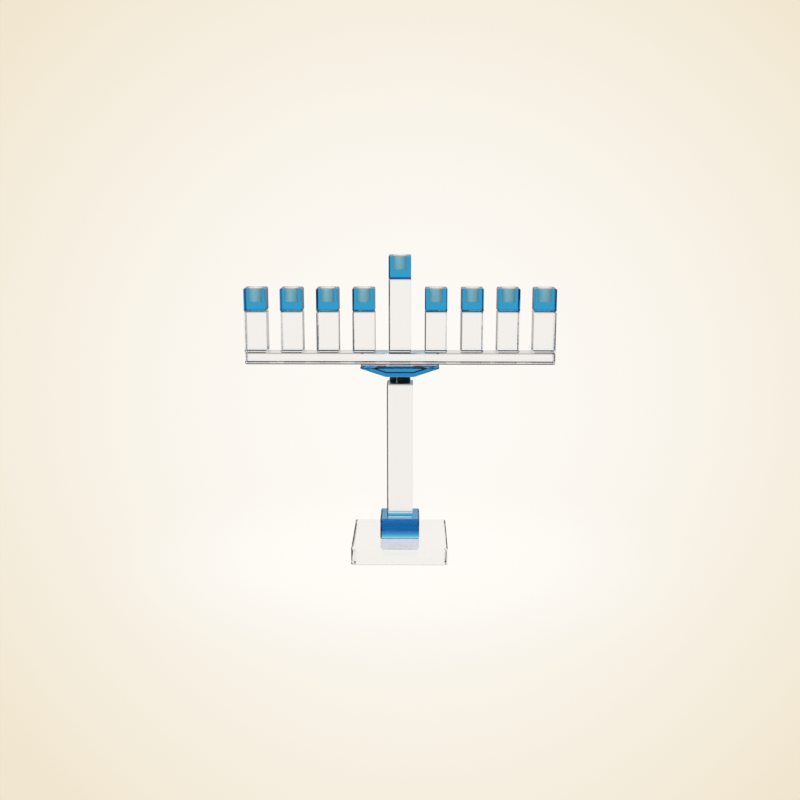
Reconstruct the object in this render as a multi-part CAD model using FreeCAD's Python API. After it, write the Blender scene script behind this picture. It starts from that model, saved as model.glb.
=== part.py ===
import FreeCAD, Part
import math
import os

# Square-cut crystal menorah. Millimetres, +Z up.
# The origin is the middle of the base plate's underside, and the crossbar runs along X.

# Driving dimensions
base_side = 96.0
base_height = 18.0
plinth_side = 39.5
plinth_height = 21.0
stem_side = 26.0
stem_height = 138.0

fitting_radius = 10.5
lower_fitting_height = 4.4
washer_height = 0.5
upper_fitting_height = 3.6

saddle_length = 78.0
saddle_depth = 40.0
saddle_foot_length = 27.5
saddle_height = 11.0
saddle_rim_height = 2.6
saddle_top_bevel = 1.8
saddle_edge_bevel = 0.7

bar_length = 308.0
bar_height = 11.5
column_side = 22.0
column_count = 9
short_column_height = 41.0
shamash_column_height = 73.0
candle_block_height = 23.0

candle_hole_radius = 6.5
candle_hole_depth = 14.0
candle_hole_floor_radius = 1.2
candle_hole_mouth_bevel = 0.4

# Polished bevels along the edges of the crystal
slab_bevel = 1.2
column_bevel = 1.0

# Bevels along the rims of the metal fittings
fitting_bevel = 0.4

# M10 x 1.25 screw: plain cylinders at the thread's outer size, with a running gap
stud_radius = 5.0
thread_lead = 1.25
thread_gap = 0.06
washer_bore_gap = 0.25
washer_edge_inset = 0.3
lower_hole_depth = 3.7
upper_hole_depth = 3.0
stud_end_gap = 0.2
stud_bevel = 0.5

# Levels of the bonded faces, from the table up
plinth_z = base_height
stem_z = plinth_z + plinth_height
lower_fitting_z = stem_z + stem_height
washer_z = lower_fitting_z + lower_fitting_height
upper_fitting_z = washer_z + washer_height
saddle_z = upper_fitting_z + upper_fitting_height
bar_z = saddle_z + saddle_height
column_z = bar_z + bar_height

column_pitch = (bar_length - column_side) / (column_count - 1)
middle_column = column_count // 2

up = FreeCAD.Vector(0, 0, 1)


def bevelled_block(length, depth, height, bevel, x, z):
    """A rectangular block standing on level z at x, with every edge bevelled."""
    corner = FreeCAD.Vector(x - length / 2, -depth / 2, z)
    block = Part.makeBox(length, depth, height, corner)
    return block.makeChamfer(bevel, block.Edges)


def upright_cylinder(radius, height, z):
    """A cylinder on the stem's axis, standing on level z."""
    return Part.makeCylinder(radius, height, FreeCAD.Vector(0, 0, z), up)


def edges_at_level(shape, z):
    """The edges that lie flat at level z."""
    found = []
    for edge in shape.Edges:
        box = edge.BoundBox
        if abs(box.ZMin - z) < 1e-6 and abs(box.ZMax - z) < 1e-6:
            found.append(edge)
    return found


def save(shape, node):
    shape.exportStep("parts/" + node + ".step")
    print(node, "solids", len(shape.Solids), "volume", round(shape.Volume, 1), "valid", shape.isValid())


def make_lower_fitting():
    """Metal disc bonded to the stem, with a blind threaded hole that opens upwards."""
    disc = upright_cylinder(fitting_radius, lower_fitting_height, lower_fitting_z)
    rims = edges_at_level(disc, lower_fitting_z) + edges_at_level(disc, washer_z)
    disc = disc.makeChamfer(fitting_bevel, rims)
    hole = upright_cylinder(stud_radius + thread_gap, lower_hole_depth, washer_z - lower_hole_depth)
    return disc.cut(hole)


def make_upper_fitting():
    """Metal disc bonded under the saddle, with a blind hole that holds the stud."""
    disc = upright_cylinder(fitting_radius, upper_fitting_height, upper_fitting_z)
    rims = edges_at_level(disc, upper_fitting_z) + edges_at_level(disc, saddle_z)
    disc = disc.makeChamfer(fitting_bevel, rims)
    hole = upright_cylinder(stud_radius, upper_hole_depth, upper_fitting_z)
    return disc.cut(hole)


def make_stud():
    """Short stud from the roof of the upper hole to just above the floor of the lower one."""
    bottom = washer_z - lower_hole_depth + stud_end_gap
    top = upper_fitting_z + upper_hole_depth
    stud = upright_cylinder(stud_radius, top - bottom, bottom)
    return stud.makeChamfer(stud_bevel, edges_at_level(stud, bottom))


def make_washer():
    """Thin ring between the two fittings."""
    ring = upright_cylinder(fitting_radius - washer_edge_inset, washer_height, washer_z)
    bore = upright_cylinder(stud_radius + washer_bore_gap, washer_height, washer_z)
    return ring.cut(bore)


def edges_below_level(shape, z):
    """The edges that lie wholly below level z."""
    return [edge for edge in shape.Edges if edge.BoundBox.ZMax < z - 1e-6]


def make_saddle_top_cutter():
    """Frame-shaped solid that takes the wide bevel off all four top edges of the saddle."""
    reach = 5.0
    low_z = bar_z - saddle_top_bevel - reach
    rings = []
    for z, inset in ((low_z, -reach), (bar_z + reach, saddle_top_bevel + reach)):
        half_length = saddle_length / 2 - inset
        half_depth = saddle_depth / 2 - inset
        corners = [
            FreeCAD.Vector(-half_length, -half_depth, z),
            FreeCAD.Vector(half_length, -half_depth, z),
            FreeCAD.Vector(half_length, half_depth, z),
            FreeCAD.Vector(-half_length, half_depth, z),
        ]
        rings.append(Part.makePolygon(corners + corners[:1]))
    wedge = Part.makeLoft(rings, True, True)
    length = saddle_length + 2 * reach
    depth = saddle_depth + 2 * reach
    block = Part.makeBox(length, depth, 2 * reach, FreeCAD.Vector(-length / 2, -depth / 2, low_z))
    return block.cut(wedge)


def make_saddle():
    """Block with upright front and back, ends that slope in below a short rim, and a wide top bevel."""
    half_top = saddle_length / 2
    half_foot = saddle_foot_length / 2
    rim_z = bar_z - saddle_rim_height
    outline = [
        (-half_foot, saddle_z),
        (half_foot, saddle_z),
        (half_top, rim_z),
        (half_top, bar_z),
        (-half_top, bar_z),
        (-half_top, rim_z),
    ]
    corners = [FreeCAD.Vector(x, -saddle_depth / 2, z) for x, z in outline]
    face = Part.Face(Part.makePolygon(corners + corners[:1]))
    block = face.extrude(FreeCAD.Vector(0, saddle_depth, 0))
    block = block.makeChamfer(saddle_edge_bevel, edges_below_level(block, bar_z))
    return block.cut(make_saddle_top_cutter())


def make_candle_block(x, z):
    """Block with a round candle hole in its top, with a bevelled mouth and a rounded floor."""
    block = bevelled_block(column_side, column_side, candle_block_height, column_bevel, x, z)
    top = z + candle_block_height
    floor = top - candle_hole_depth
    centre = FreeCAD.Vector(x, 0, floor)
    hole = Part.makeCylinder(candle_hole_radius, candle_hole_depth, centre, up)
    hole = hole.makeFillet(candle_hole_floor_radius, edges_at_level(hole, floor))
    mouth = Part.makeCone(
        candle_hole_radius,
        candle_hole_radius + candle_hole_mouth_bevel,
        candle_hole_mouth_bevel,
        FreeCAD.Vector(x, 0, top - candle_hole_mouth_bevel),
        up,
    )
    return block.cut(hole.fuse(mouth))


os.makedirs("parts", exist_ok=True)

# Lower half: base, plinth and stem, with the lower half of the screw fitting
save(bevelled_block(base_side, base_side, base_height, slab_bevel, 0, 0), "base_plate")
save(bevelled_block(plinth_side, plinth_side, plinth_height, slab_bevel, 0, plinth_z), "plinth_block")
save(bevelled_block(stem_side, stem_side, stem_height, column_bevel, 0, stem_z), "stem")
save(make_lower_fitting(), "lower_fitting")
save(make_washer(), "washer")

# Upper half: it unscrews from the stem as one
save(make_upper_fitting(), "upper_fitting")
save(make_stud(), "fitting_stud")
save(make_saddle(), "saddle_block")
save(bevelled_block(bar_length, column_side, bar_height, column_bevel, 0, bar_z), "crossbar")

# Nine columns with their candle blocks, evenly spaced from end to end of the bar
number = 0
for place in range(column_count):
    x = (place - middle_column) * column_pitch
    if place == middle_column:
        name = "shamash"
        height = shamash_column_height
        suffix = ""
    else:
        number += 1
        name = "candle"
        height = short_column_height
        suffix = "_" + str(number)
    column = bevelled_block(column_side, column_side, height, column_bevel, x, column_z)
    save(column, name + "_column" + suffix)
    save(make_candle_block(x, column_z + height), name + "_block" + suffix)

print("lift per radian, m:", round(thread_lead / (2 * math.pi) / 1000, 9))
print("total height:", column_z + shamash_column_height + candle_block_height, "pitch:", column_pitch)
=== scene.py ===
import math
import bpy
import bmesh
from mathutils import Matrix, Vector


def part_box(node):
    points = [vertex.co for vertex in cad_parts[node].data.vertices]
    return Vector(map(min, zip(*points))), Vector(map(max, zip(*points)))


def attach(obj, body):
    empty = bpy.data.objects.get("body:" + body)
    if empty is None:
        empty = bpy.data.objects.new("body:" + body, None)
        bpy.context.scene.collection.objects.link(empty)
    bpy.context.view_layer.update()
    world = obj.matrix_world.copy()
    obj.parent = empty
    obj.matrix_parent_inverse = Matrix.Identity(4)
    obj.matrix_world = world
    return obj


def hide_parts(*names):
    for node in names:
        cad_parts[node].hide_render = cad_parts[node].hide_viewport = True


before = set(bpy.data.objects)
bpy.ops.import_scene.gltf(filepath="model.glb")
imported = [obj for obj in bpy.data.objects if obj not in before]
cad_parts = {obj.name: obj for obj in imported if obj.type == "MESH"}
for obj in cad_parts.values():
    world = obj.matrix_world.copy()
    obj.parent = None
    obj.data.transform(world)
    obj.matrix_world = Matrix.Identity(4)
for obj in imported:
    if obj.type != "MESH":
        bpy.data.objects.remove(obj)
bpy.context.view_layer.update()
print("menorah: frame loaded")

mm = 0.001
hair = 0.01 * mm                  # bonded faces stop this far short of each other
flatness = 5 * hair               # how far a vert may lie from the level of its flat face
creaseAngle = math.radians(30)    # sharper edges than this stay sharp
scene = bpy.context.scene


def toLinear(code, alpha=1.0):
    # sRGB hex to the linear colour that Blender works in
    channels = []
    for place in (0, 2, 4):
        value = int(code[place:place + 2], 16) / 255
        channels.append(value / 12.92 if value <= 0.04045 else ((value + 0.055) / 1.055) ** 2.4)
    return (*channels, alpha)


def addNode(tree, kind, settings=None, links=None):
    # one node, with its settings and what plugs into it
    node = tree.nodes.new(kind)
    for key, value in (settings or {}).items():
        if isinstance(key, int) or key in node.inputs:
            node.inputs[key].default_value = value
        else:
            setattr(node, key, value)
    for key, source in (links or {}).items():
        tree.links.new(source, node.inputs[key])
    return node


def newTree(name):
    material = bpy.data.materials.new(name)
    material.use_nodes = True
    material.node_tree.nodes.clear()
    return material, material.node_tree


def objectPlace(tree):
    return addNode(tree, "ShaderNodeTexCoord").outputs["Object"]


def faceMark(tree, name):
    return addNode(tree, "ShaderNodeAttribute", {"attribute_name": name}).outputs["Fac"]


def noise(tree, place, size, detail):
    # noise whose blotches are about this size
    settings = {"Scale": 1 / size, "Detail": detail}
    return addNode(tree, "ShaderNodeTexNoise", settings, {"Vector": place}).outputs["Fac"]


def calc(tree, operation, *values):
    # a sum on sockets and plain numbers
    settings, links = {"operation": operation}, {}
    for index, value in enumerate(values):
        if isinstance(value, (int, float)):
            settings[index] = value
        else:
            links[index] = value
    return addNode(tree, "ShaderNodeMath", settings, links).outputs[0]


def remap(tree, value, fromRange, toRange, kind="LINEAR"):
    settings = {"interpolation_type": kind, "From Min": fromRange[0], "From Max": fromRange[1],
                "To Min": toRange[0], "To Max": toRange[1]}
    return addNode(tree, "ShaderNodeMapRange", settings, {"Value": value}).outputs[0]


def twoTone(tree, factor, first, second):
    settings = {"data_type": "RGBA", "A": toLinear(first), "B": toLinear(second)}
    return addNode(tree, "ShaderNodeMix", settings, {"Factor": factor}).outputs["Result"]


def bump(tree, height, strength, depth, normal=None):
    links = {"Height": height, "Normal": normal} if normal else {"Height": height}
    return addNode(tree, "ShaderNodeBump", {"Strength": strength, "Distance": depth}, links).outputs[0]


def blend(tree, factor, first, second):
    return addNode(tree, "ShaderNodeMixShader", {}, {0: factor, 1: first, 2: second}).outputs[0]


def clearGap(tree):
    # lets light straight through
    return addNode(tree, "ShaderNodeBsdfTransparent", {"Color": (1, 1, 1, 1)}).outputs[0]


cameraSetup = {"distance": 1.099, "height": 0.382, "aimHeight": 0.1585, "azimuth": 0.7, "lens": 50,
               "sensor": 36}


def makeCamera(setup):
    turn = math.radians(setup["azimuth"])
    spot = Vector((math.sin(turn), -math.cos(turn), 0)) * setup["distance"]
    spot.z = setup["height"]
    data = bpy.data.cameras.new("productCamera")
    data.lens = setup["lens"]
    data.sensor_width = setup["sensor"]
    camera = bpy.data.objects.new("productCamera", data)
    scene.collection.objects.link(camera)
    camera.location = spot
    aim = Vector((0, 0, setup["aimHeight"])) - spot
    camera.rotation_euler = aim.to_track_quat("-Z", "Y").to_euler()
    scene.camera = camera


makeCamera(cameraSetup)
print("menorah: camera set")


crystalSurface = {"ior": 1.517, "waveSize": 30 * mm, "waveHeight": 0.0003 * mm, "gritSize": 0.5 * mm,
                  "gritHeight": 0.03 * mm}
# "glow" is painted light: a warm emission on the hole walls that stands in for the light falling in at the
# mouth
groundFrostWithPaintedGlow = {"tone": "aca9a7", "roughness": 0.4, "ior": 1.5, "glow": "ffe2d6", "paintedGlowLevel": 0.2}


def crystalMaterial(name, density, colour):
    # cut and polished crystal: sharp clear faces, with faint waves left by the polishing wheel
    # "bond" is 1 on glued faces, which show nothing, and "ground" is 1 in the drilled holes,
    # which are ground and so scatter some of the light that falls in at the mouth
    look, frost = crystalSurface, groundFrostWithPaintedGlow
    material, tree = newTree(name)
    place = objectPlace(tree)
    bond = faceMark(tree, "bond")
    ground = faceMark(tree, "ground")
    waves = bump(tree, noise(tree, place, look["waveSize"], 1.0), 1.0, look["waveHeight"])
    grit = calc(tree, "MULTIPLY", noise(tree, place, look["gritSize"], 2.0), ground)
    relief = bump(tree, grit, 1.0, look["gritHeight"], waves)
    glass = addNode(tree, "ShaderNodeBsdfPrincipled",
                    {"Base Color": (1, 1, 1, 1), "Transmission Weight": 1.0, "Roughness": 0.0,
                     "IOR": look["ior"]}, {"Normal": relief}).outputs[0]
    # ground glass is white and dull, with a faint even painted glow: an emission that stands in for the
    # light that falls in at the mouth
    white = addNode(tree, "ShaderNodeBsdfPrincipled",
                    {"Base Color": toLinear(frost["tone"]), "Roughness": frost["roughness"],
                     "IOR": frost["ior"], "Emission Color": toLinear(frost["glow"]),
                     "Emission Strength": frost["paintedGlowLevel"]}, {"Normal": relief}).outputs[0]
    skin = blend(tree, ground, glass, white)
    # lamps shine straight through, and a glued face isn't there at all
    shadowRay = addNode(tree, "ShaderNodeLightPath").outputs["Is Shadow Ray"]
    surface = blend(tree, calc(tree, "MAXIMUM", bond, shadowRay), skin, clearGap(tree))
    body = addNode(tree, "ShaderNodeVolumeAbsorption", {"Color": colour, "Density": density}).outputs[0]
    addNode(tree, "ShaderNodeOutputMaterial", {}, {"Surface": surface, "Volume": body})
    return material


# density per metre, and the colour that it lets through
clearCrystal = crystalMaterial("cutPolishedClearCrystal", 1.0, (0.5, 0.5, 0.45, 1))
barCrystal = crystalMaterial("cutPolishedBarCrystal", 5.0, (0.5, 0.46, 0.47, 1))   # a touch greyer
blueCrystal = crystalMaterial("cutPolishedBlueCrystal", 250.0, (0.36, 0.816, 0.93, 1))
paleBlueCrystal = crystalMaterial("cutPolishedPaleBlueCrystal", 120.0, (0.25, 0.76, 0.91, 1))


nickelLook = {"tone": "2c2d2f", "markSize": 0.12 * mm, "shine": (0.05, 0.13), "relief": 0.01 * mm,
              "reliefStrength": 0.15}


def nickelMaterial():
    # black nickel plate over a turned and buffed fitting: dark mirror with faint turning marks
    look = nickelLook
    material, tree = newTree("buffedBlackNickel")
    stretch = {"Scale": (1, 1, 1 / look["markSize"])}
    place = addNode(tree, "ShaderNodeMapping", stretch, {"Vector": objectPlace(tree)}).outputs[0]
    marks = noise(tree, place, 1.0, 2.0)
    shine = remap(tree, marks, (0, 1), look["shine"])
    relief = bump(tree, marks, look["reliefStrength"], look["relief"])
    metal = addNode(tree, "ShaderNodeBsdfPrincipled",
                    {"Base Color": toLinear(look["tone"]), "Metallic": 1.0},
                    {"Roughness": shine, "Normal": relief})
    addNode(tree, "ShaderNodeOutputMaterial", {}, {"Surface": metal.outputs[0]})
    return material


steelLook = {"light": "b4b5b6", "dark": "9a9b9d", "lineSize": 0.4 * mm, "shine": (0.22, 0.38)}


def steelMaterial():
    # rolled steel thread: bright flanks with fine drawn lines
    look = steelLook
    material, tree = newTree("rolledSteelThread")
    lines = noise(tree, objectPlace(tree), look["lineSize"], 3.0)
    shine = remap(tree, lines, (0, 1), look["shine"])
    tone = twoTone(tree, lines, look["light"], look["dark"])
    metal = addNode(tree, "ShaderNodeBsdfPrincipled", {"Metallic": 1.0},
                    {"Base Color": tone, "Roughness": shine})
    addNode(tree, "ShaderNodeOutputMaterial", {}, {"Surface": metal.outputs[0]})
    return material


nylonLook = {"light": "2b2b2d", "dark": "1c1c1e", "grainSize": 0.3 * mm, "relief": 0.02 * mm,
             "reliefStrength": 0.3, "roughness": 0.55, "ior": 1.53}


def nylonMaterial():
    # stamped nylon washer: dull, with a fine grain
    look = nylonLook
    material, tree = newTree("stampedNylon")
    grain = noise(tree, objectPlace(tree), look["grainSize"], 2.0)
    relief = bump(tree, grain, look["reliefStrength"], look["relief"])
    tone = twoTone(tree, grain, look["light"], look["dark"])
    plastic = addNode(tree, "ShaderNodeBsdfPrincipled", {"Roughness": look["roughness"], "IOR": look["ior"]},
                      {"Base Color": tone, "Normal": relief})
    addNode(tree, "ShaderNodeOutputMaterial", {}, {"Surface": plastic.outputs[0]})
    return material


blackNickel = nickelMaterial()
threadSteel = steelMaterial()
washerNylon = nylonMaterial()
print("menorah: materials made")


def finishPiece(bm, name, node, body, material):
    mesh = bpy.data.meshes.new(name)
    for face in bm.faces:
        face.smooth = True
    bm.to_mesh(mesh)
    bm.free()
    mesh.set_sharp_from_angle(angle=creaseAngle)
    piece = bpy.data.objects.new(name, mesh)
    scene.collection.objects.link(piece)
    mesh.materials.append(material)
    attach(piece, body)
    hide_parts(node)


def chamfer(bm, edges, width):
    # flat ground edges
    bmesh.ops.bevel(bm, geom=edges, offset=width, offset_type="OFFSET", affect="EDGES",
                    segments=1, profile=0.5, material=-1)


def bevelledBlock(node, bevel):
    # a block cut to the node's size, every edge bevelled, a hair short at top and bottom
    low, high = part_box(node)
    bm = bmesh.new()
    bmesh.ops.create_cube(bm, size=1)
    size = high - low
    size.z -= 2 * hair
    bmesh.ops.scale(bm, vec=size, verts=bm.verts)
    bmesh.ops.translate(bm, vec=(low + high) / 2, verts=bm.verts)
    chamfer(bm, bm.edges[:], bevel)
    return bm


def flatFaces(bm, level):
    # the faces that lie flat at a level
    found = []
    for face in bm.faces:
        heights = [vert.co.z for vert in face.verts]
        if max(abs(height - level) for height in heights) < flatness:
            found.append(face)
    return found


def glueFootprint(bm, level, low, high):
    # cuts the flat face at a level round the glued rectangle, and marks what lies inside it
    for axis in (0, 1):
        for edge in (low[axis], high[axis]):
            faces = flatFaces(bm, level)
            geometry = faces + list({e for f in faces for e in f.edges})
            geometry += list({v for f in faces for v in f.verts})
            spot = Vector((0, 0, level))
            spot[axis] = edge
            normal = Vector((0, 0, 0))
            normal[axis] = 1
            bmesh.ops.bisect_plane(bm, geom=geometry, dist=hair / 10, plane_co=spot, plane_no=normal)
    bond = bm.faces.layers.float.get("bond") or bm.faces.layers.float.new("bond")
    for face in flatFaces(bm, level):
        middle = face.calc_center_median()
        if low[0] < middle.x < high[0] and low[1] < middle.y < high[1]:
            face[bond] = 1.0


slabBevel = 1.2 * mm
columnBevel = 1.0 * mm


def bevelOf(node):
    return slabBevel if node in ("base_plate", "plinth_block") else columnBevel


def flatBox(node):
    # the flat rectangle inside a node's bevels
    low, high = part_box(node)
    bevel = bevelOf(node)
    return (low.x + bevel, low.y + bevel), (high.x - bevel, high.y - bevel)


def bondTo(bm, node, other, level):
    # glues a node to its neighbour over the rectangle where both are flat
    mine, theirs = flatBox(node), flatBox(other)
    low = tuple(max(a, b) for a, b in zip(mine[0], theirs[0]))
    high = tuple(min(a, b) for a, b in zip(mine[1], theirs[1]))
    glueFootprint(bm, level, low, high)


def makeLowerCrystal():
    for node, below, above, material, slotName in (
        ("base_plate", None, "plinth_block", clearCrystal, "clear_crystal"),
        ("plinth_block", "base_plate", "stem", blueCrystal, "blue_crystal"),
        ("stem", "plinth_block", None, barCrystal, "clear_crystal"),
    ):
        low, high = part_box(node)
        bm = bevelledBlock(node, bevelOf(node))
        if below:
            bondTo(bm, node, below, low.z + hair)
        if above:
            bondTo(bm, node, above, high.z - hair)
        finishPiece(bm, node + "_crystal", node, "root", material)


makeLowerCrystal()
print("menorah: base, plinth and stem")


saddleShape = {"foot": 27.5 * mm, "rim": 2.6 * mm, "topBevel": 1.8 * mm, "edgeBevel": 0.7 * mm}


def makeSaddle():
    # upright front and back, ends that slope in below a short rim, a wide bevel round the top
    low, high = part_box("saddle_block")
    look = saddleShape
    half = look["foot"] / 2
    slope = high.z - look["rim"]
    bottom, top = low.z + hair, high.z - hair
    bm = bmesh.new()
    outline = [(-half, bottom), (half, bottom), (high.x, slope), (high.x, top), (low.x, top), (low.x, slope)]
    face = bm.faces.new([bm.verts.new((x, low.y, z)) for x, z in outline])
    moved = bmesh.ops.extrude_face_region(bm, geom=[face])
    bmesh.ops.translate(bm, vec=(0, high.y - low.y, 0),
                        verts=[v for v in moved["geom"] if isinstance(v, bmesh.types.BMVert)])
    bmesh.ops.recalc_face_normals(bm, faces=bm.faces)
    chamfer(bm, [e for e in bm.edges if min(v.co.z for v in e.verts) > slope + hair], look["topBevel"])
    belowBevel = top - look["topBevel"] / 2
    chamfer(bm, [e for e in bm.edges if max(v.co.z for v in e.verts) < belowBevel], look["edgeBevel"])
    finishPiece(bm, "saddle_crystal", "saddle_block", "upper_half", paleBlueCrystal)


def makeCrossbar(columns):
    low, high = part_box("crossbar")
    bm = bevelledBlock("crossbar", columnBevel)
    for column in columns:
        bondTo(bm, "crossbar", column, high.z - hair)
    finishPiece(bm, "crossbar_crystal", "crossbar", "upper_half", barCrystal)


def makeColumn(node, block):
    low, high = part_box(node)
    bm = bevelledBlock(node, columnBevel)
    bondTo(bm, node, "crossbar", low.z + hair)
    bondTo(bm, node, block, high.z - hair)
    finishPiece(bm, node + "_crystal", node, "upper_half", barCrystal)


candleHole = {"radius": 6.5 * mm, "depth": 14 * mm, "mouthBevel": 0.4 * mm, "floorRadius": 1.2 * mm,
              "floorSteps": 6, "sides": 64, "firstSide": -135}   # in degrees, at the front left corner


def holeOutline(top):
    # from the mouth down the wall, round the floor's edge and in to the middle
    radius, mouth, corner = candleHole["radius"], candleHole["mouthBevel"], candleHole["floorRadius"]
    floor = top - candleHole["depth"]
    outline = [(radius + mouth, top), (radius, top - mouth)]
    for step in range(candleHole["floorSteps"] + 1):
        angle = math.pi / 2 * step / candleHole["floorSteps"]
        outline.append((radius - corner + corner * math.cos(angle),
                        floor + corner - corner * math.sin(angle)))
    outline.append((0, floor))
    return outline


def ringByAngle(verts, centre):
    # verts in order round a centre, from just before the front left corner
    start = math.radians(1 - candleHole["firstSide"])
    return sorted(verts, key=lambda v: (math.atan2(v.co.y - centre.y, v.co.x - centre.x) + start) % math.tau)


def makeCandleBlock(node, column):
    low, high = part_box(node)
    bm = bevelledBlock(node, columnBevel)
    bondTo(bm, node, column, low.z + hair)
    ground = bm.faces.layers.float.new("ground")
    top = high.z - hair
    lid = flatFaces(bm, top)[0]
    rim = lid.edges[:]
    bmesh.ops.delete(bm, geom=[lid], context="FACES_ONLY")
    bmesh.ops.subdivide_edges(bm, edges=rim, cuts=candleHole["sides"] // 4 - 1)
    # the hole, spun about its axis
    centre = Vector(((low.x + high.x) / 2, (low.y + high.y) / 2, 0))
    startTurn = Matrix.Rotation(math.radians(candleHole["firstSide"]), 3, "Z")
    verts = [bm.verts.new(centre + startTurn @ Vector((r, 0, z))) for r, z in holeOutline(top)]
    edges = [bm.edges.new(pair) for pair in zip(verts, verts[1:])]
    bmesh.ops.spin(bm, geom=verts + edges, cent=centre, axis=(0, 0, 1), angle=math.tau,
                   steps=candleHole["sides"], use_merge=True)
    bmesh.ops.remove_doubles(bm, verts=bm.verts, dist=hair / 10)
    # the lid: a ring of faces from the hole's mouth out to the rim, matched by angle from one corner
    mouthReach = candleHole["radius"] + candleHole["mouthBevel"]
    openVerts = {vert for edge in bm.edges if len(edge.link_faces) == 1 for vert in edge.verts}
    atMouth = {v for v in openVerts if (v.co.xy - centre.xy).length < mouthReach + hair}
    inner = ringByAngle(atMouth, centre)
    outer = ringByAngle(openVerts - atMouth, centre)
    for n in range(len(outer)):
        bm.faces.new((outer[n - 1], outer[n], inner[n], inner[n - 1]))
    bmesh.ops.recalc_face_normals(bm, faces=bm.faces)
    for face in bm.faces:
        middle = face.calc_center_median()
        inHole = (middle.xy - centre.xy).length < mouthReach
        if inHole and low.z + flatness < middle.z < top - hair:
            face[ground] = 1.0
    finishPiece(bm, node + "_crystal", node, "upper_half", blueCrystal)


pairs = [("candle_column_%d" % n, "candle_block_%d" % n) for n in range(1, 9)]
pairs.append(("shamash_column", "shamash_block"))
makeSaddle()
makeCrossbar([column for column, block in pairs])
for column, block in pairs:
    makeColumn(column, block)
    makeCandleBlock(block, column)
print("menorah: crossbar, columns and candle blocks")


def turned(bm, outline, sides):
    # a lathe outline of (radius, height) pairs, turned about the stem's axis
    verts = [bm.verts.new((radius, 0, height)) for radius, height in outline]
    edges = [bm.edges.new(pair) for pair in zip(verts, verts[1:])]
    bmesh.ops.spin(bm, geom=verts + edges, cent=(0, 0, 0), axis=(0, 0, 1), angle=math.tau,
                   steps=sides, use_merge=True)
    bmesh.ops.remove_doubles(bm, verts=bm.verts, dist=hair / 10)
    bmesh.ops.recalc_face_normals(bm, faces=bm.faces)


# each hole is a radius and a depth
fittingShape = {"bevel": 0.4 * mm, "mouth": 0.3 * mm, "lowerHole": (5.06 * mm, 3.7 * mm),
                "upperHole": (5.0 * mm, 3.0 * mm), "sides": 96}


def makeFitting(node, body, hole, opensUp):
    # turned disc with bevelled rims and a blind threaded hole
    low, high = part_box(node)
    look = fittingShape
    radius, bevel, mouth = high.x, look["bevel"], look["mouth"]
    holeRadius, holeDepth = hole
    closed, opened = (low.z, high.z) if opensUp else (high.z, low.z)
    inward = 1 if opensUp else -1
    floor = opened - inward * holeDepth
    outline = [(0, closed), (radius - bevel, closed), (radius, closed + inward * bevel),
               (radius, opened - inward * bevel), (radius - bevel, opened), (holeRadius + mouth, opened),
               (holeRadius, opened - inward * mouth), (holeRadius, floor), (0, floor)]
    bm = bmesh.new()
    turned(bm, outline, look["sides"])
    finishPiece(bm, node + "_turned", node, body, blackNickel)


# the ends and the foot of the ridge are shares of the lead
threadShape = {"crest": 4.96 * mm, "root": 4.23 * mm, "lead": 1.25 * mm, "crestFlat": 0.16 * mm,
               "sunk": 0.05 * mm, "halfFoot": 0.46, "end": 0.55, "stepsPerTurn": 48, "coreSides": 64}


def makeThread():
    # core turned to the root of the thread, with the thread itself wound round it
    low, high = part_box("fitting_stud")
    look = threadShape
    root, crest, lead = look["root"], look["crest"], look["lead"]
    leadIn = lead / 4
    core = [(0, low.z), (root - leadIn, low.z), (root, low.z + leadIn), (root, high.z), (0, high.z)]
    bm = bmesh.new()
    turned(bm, core, look["coreSides"])
    start = low.z + look["end"] * lead
    turns = (high.z - low.z) / lead - 2 * look["end"]
    steps = round(turns * look["stepsPerTurn"])
    foot, halfFoot, halfCrest = root - look["sunk"], look["halfFoot"] * lead, look["crestFlat"] / 2
    ridge = [(foot, start - halfFoot), (crest, start - halfCrest), (crest, start + halfCrest),
             (foot, start + halfFoot)]
    face = bm.faces.new([bm.verts.new((radius, 0, height)) for radius, height in ridge])
    bmesh.ops.spin(bm, geom=[face, *face.edges, *face.verts], cent=(0, 0, 0), axis=(0, 0, 1),
                   dvec=(0, 0, turns * lead / steps), angle=math.tau * turns, steps=steps)
    bmesh.ops.recalc_face_normals(bm, faces=bm.faces)
    finishPiece(bm, "stud_thread", "fitting_stud", "upper_half", threadSteel)


washerShape = {"bore": 5.25 * mm, "edge": 0.12 * mm, "sides": 96}


def makeWasher():
    low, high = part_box("washer")
    bore, edge, radius = washerShape["bore"], washerShape["edge"], high.x
    outline = [(bore, low.z), (radius - edge, low.z), (radius, low.z + edge), (radius, high.z - edge),
               (radius - edge, high.z), (bore, high.z), (bore, low.z)]
    bm = bmesh.new()
    turned(bm, outline, washerShape["sides"])
    finishPiece(bm, "washer_ring", "washer", "washer", washerNylon)


makeFitting("lower_fitting", "root", fittingShape["lowerHole"], True)
makeFitting("upper_fitting", "upper_half", fittingShape["upperHole"], False)
makeThread()
makeWasher()
print("menorah: screw fitting")


def stageObject(bm, name, material):
    mesh = bpy.data.meshes.new(name)
    bm.to_mesh(mesh)
    bm.free()
    mesh.materials.append(material)
    staged = bpy.data.objects.new(name, mesh)
    scene.collection.objects.link(staged)
    return staged


# "fade" is where the paper melts away, and "shade" is how far out the object's own shadow tells
sweep = {"radius": 0.9, "segments": 96, "centre": "fdfaf5", "edge": "f1e6cf", "paper": "f4f2ec",
         "fade": (0.07, 0.32), "shade": (0.05, 0.3), "shadow": 0.05}


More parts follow.
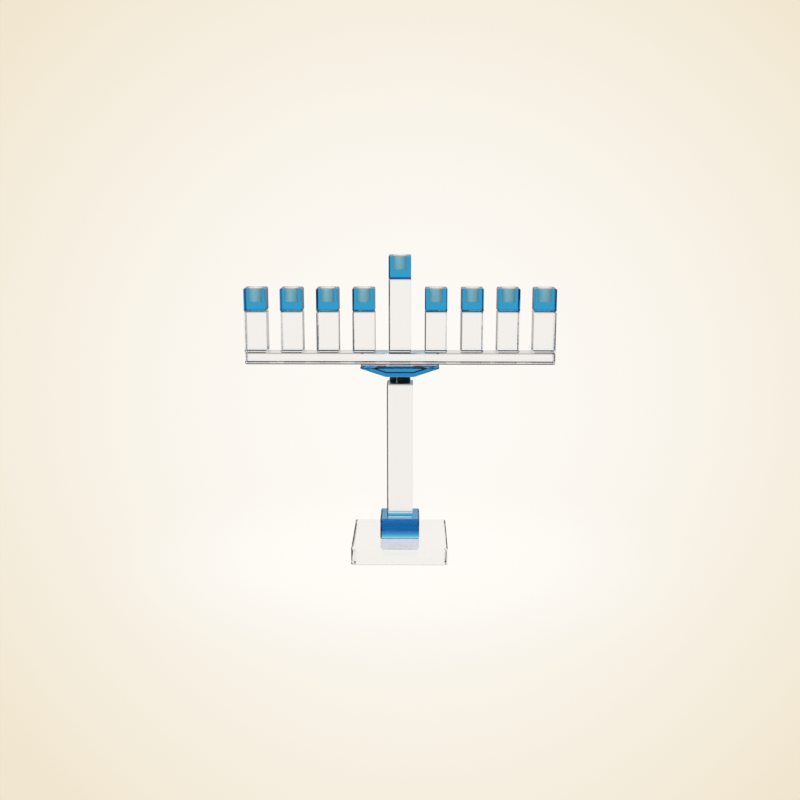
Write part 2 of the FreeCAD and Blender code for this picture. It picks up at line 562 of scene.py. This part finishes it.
def makeFloor():
    # a pale seamless sweep: bright paper that melts into the backdrop further out
    material, tree = newTree("paleSweep")
    settings = {"operation": "LENGTH"}
    away = addNode(tree, "ShaderNodeVectorMath", settings, {0: objectPlace(tree)}).outputs["Value"]
    shade = remap(tree, away, sweep["shade"], (sweep["shadow"], 0.0))
    glow = addNode(tree, "ShaderNodeEmission", {"Color": toLinear(sweep["centre"]), "Strength": 1.0})
    paper = addNode(tree, "ShaderNodeBsdfDiffuse", {"Color": toLinear(sweep["paper"])})
    lit = blend(tree, shade, glow.outputs[0], paper.outputs[0])
    fade = remap(tree, away, sweep["fade"], (0.0, 1.0), "SMOOTHSTEP")
    surface = blend(tree, fade, lit, clearGap(tree))
    addNode(tree, "ShaderNodeOutputMaterial", {}, {"Surface": surface})
    bm = bmesh.new()
    bmesh.ops.create_circle(bm, cap_ends=True, segments=sweep["segments"], radius=sweep["radius"])
    floor = stageObject(bm, "floor", material)
    floor.visible_glossy = False
    floor.visible_transmission = False


darkCard = {"radius": 0.6, "from": 0.36, "to": 0.53, "sides": 96, "light": "060606", "dark": "0c0c0c",
            "pulpSize": 2 * mm}


def makeDarkCard():
    # black card: a ring round the stage that only light bent by the glass can see
    # it draws the lower edges of the bar and the columns as dark lines
    look = darkCard
    material, tree = newTree("blackCard")
    pulp = noise(tree, objectPlace(tree), look["pulpSize"], 2.0)
    tone = twoTone(tree, pulp, look["light"], look["dark"])
    matt = addNode(tree, "ShaderNodeBsdfDiffuse", {}, {"Color": tone})
    addNode(tree, "ShaderNodeOutputMaterial", {}, {"Surface": matt.outputs[0]})
    bm = bmesh.new()
    bmesh.ops.create_circle(bm, segments=look["sides"], radius=look["radius"])
    bmesh.ops.translate(bm, vec=(0, 0, look["from"]), verts=bm.verts)
    raised = bmesh.ops.extrude_edge_only(bm, edges=bm.edges[:])
    bmesh.ops.translate(bm, vec=(0, 0, look["to"] - look["from"]),
                        verts=[v for v in raised["geom"] if isinstance(v, bmesh.types.BMVert)])
    card = stageObject(bm, "darkCard", material)
    card.visible_camera = False
    card.visible_glossy = False
    card.visible_diffuse = False
    card.visible_shadow = False


def levelCurve(tree, table, low, high, source):
    # a smooth table of levels, read with an angle in radians
    span = remap(tree, source, (math.radians(low), math.radians(high)), (0.0, 1.0))
    ramp = addNode(tree, "ShaderNodeValToRGB", {}, {"Fac": span})
    stops = ramp.color_ramp.elements
    while len(stops) > 1:
        stops.remove(stops[0])
    for index, (angle, level) in enumerate(table):
        where = (angle - low) / (high - low)
        stop = stops[0] if index == 0 else stops.new(where)
        stop.position = where
        stop.color = (level, level, level, 1)
    return ramp.outputs["Color"]


# the studio by direction, in degrees: a level for each elevation, and a dark flag down one side of each
# of the panels that stand round the object
studio = {"through": ((-90, 1.0), (-46, 1.0), (-40, 0.5), (-34, 0.5), (-30, 1.0), (6, 1.0), (8, 0.85),
                      (13, 0.85), (15, 1.0), (90, 1.0)),
          "reflected": ((-90, 0.22), (-1, 0.22), (3, 0.55), (20, 0.7), (50, 1.0), (90, 1.0)),
          "flags": ((0, 0.1), (6, 0.1), (9, 1.0), (45, 1.0)),
          "panel": 45, "whiteLevel": -11.5, "vignette": (4, 27), "falloff": 1.4}


def makeWorld():
    world = bpy.data.worlds.new("studio")
    scene.world = world
    world.use_nodes = True
    tree = world.node_tree
    tree.nodes.clear()
    direction = addNode(tree, "ShaderNodeTexCoord").outputs["Generated"]
    parts = addNode(tree, "ShaderNodeSeparateXYZ", {}, {0: direction}).outputs
    panel = math.radians(studio["panel"])
    azimuth = calc(tree, "ARCTAN2", parts["X"], parts["Y"])
    around = calc(tree, "MODULO", calc(tree, "ADD", azimuth, math.tau + panel / 2), panel)
    height = calc(tree, "ARCSINE", parts["Z"])
    # the backdrop itself: white in the middle of each panel, creamier further out
    across = calc(tree, "SUBTRACT", around, panel / 2)
    above = calc(tree, "ADD", height, math.radians(-studio["whiteLevel"]))
    reach = addNode(tree, "ShaderNodeCombineXYZ", {}, {0: above, 1: across}).outputs[0]
    spread = addNode(tree, "ShaderNodeVectorMath", {"operation": "LENGTH"}, {0: reach}).outputs["Value"]
    vignette = remap(tree, spread, [math.radians(angle) for angle in studio["vignette"]], (0.0, 1.0))
    cream = calc(tree, "POWER", vignette, studio["falloff"])
    wall = twoTone(tree, cream, sweep["centre"], sweep["edge"])
    # what the crystal and the metal see
    flags = levelCurve(tree, studio["flags"], 0, studio["panel"], around)
    through = levelCurve(tree, studio["through"], -90, 90, height)
    reflected = levelCurve(tree, studio["reflected"], -90, 90, height)
    path = addNode(tree, "ShaderNodeLightPath").outputs
    panels = addNode(tree, "ShaderNodeMix", {"data_type": "FLOAT"},
                     {"Factor": path["Is Reflection Ray"], "A": calc(tree, "MULTIPLY", flags, through),
                      "B": reflected}).outputs[0]
    full = calc(tree, "MAXIMUM", path["Is Camera Ray"], path["Is Diffuse Ray"])
    strength = calc(tree, "MAXIMUM", panels, full)
    colour = addNode(tree, "ShaderNodeMix", {"data_type": "RGBA", "A": toLinear(sweep["centre"])},
                     {"Factor": path["Is Camera Ray"], "B": wall}).outputs["Result"]
    light = addNode(tree, "ShaderNodeBackground", {}, {"Color": colour, "Strength": strength})
    addNode(tree, "ShaderNodeOutputWorld", {}, {"Surface": light.outputs[0]})


# sizes and places in metres, powers in watts; only a mirrored lamp shows in the glass and the metal
lampColour = "fffaf2"
lamps = {
    "overheadSoftbox": {"size": (0.9, 0.9), "power": 14, "spot": (0, -0.1, 1.5), "aim": (0, 0, 0.2),
                        "mirrored": False},
    "frontSoftbox": {"size": (0.8, 0.5), "power": 9, "spot": (0, -1.3, 0.9), "aim": (0, 0, 0.25),
                     "mirrored": False},
    "leftStrip": {"size": (0.06, 0.9), "power": 3, "spot": (-0.55, -0.8, 0.2), "aim": (0, 0, 0.2),
                  "mirrored": True},
}


def makeLamp(name, setup):
    data = bpy.data.lights.new(name, "AREA")
    data.shape = "RECTANGLE"
    data.size, data.size_y = setup["size"]
    data.energy = setup["power"]
    data.color = toLinear(lampColour)[:3]
    lamp = bpy.data.objects.new(name, data)
    scene.collection.objects.link(lamp)
    lamp.location = setup["spot"]
    aim = Vector(setup["aim"]) - Vector(setup["spot"])
    lamp.rotation_euler = aim.to_track_quat("-Z", "Y").to_euler()
    lamp.visible_camera = False
    lamp.visible_transmission = False
    lamp.visible_glossy = setup["mirrored"]


makeFloor()
makeDarkCard()
makeWorld()
for name, setup in lamps.items():
    makeLamp(name, setup)
print("menorah: floor, backdrop and light")

scene.view_settings.view_transform = "Standard"
# light crosses many faces on its way through bonded crystal
scene.cycles.max_bounces = 32
scene.cycles.transmission_bounces = 32
scene.cycles.glossy_bounces = 12
scene.cycles.transparent_max_bounces = 64

print("menorah: done")
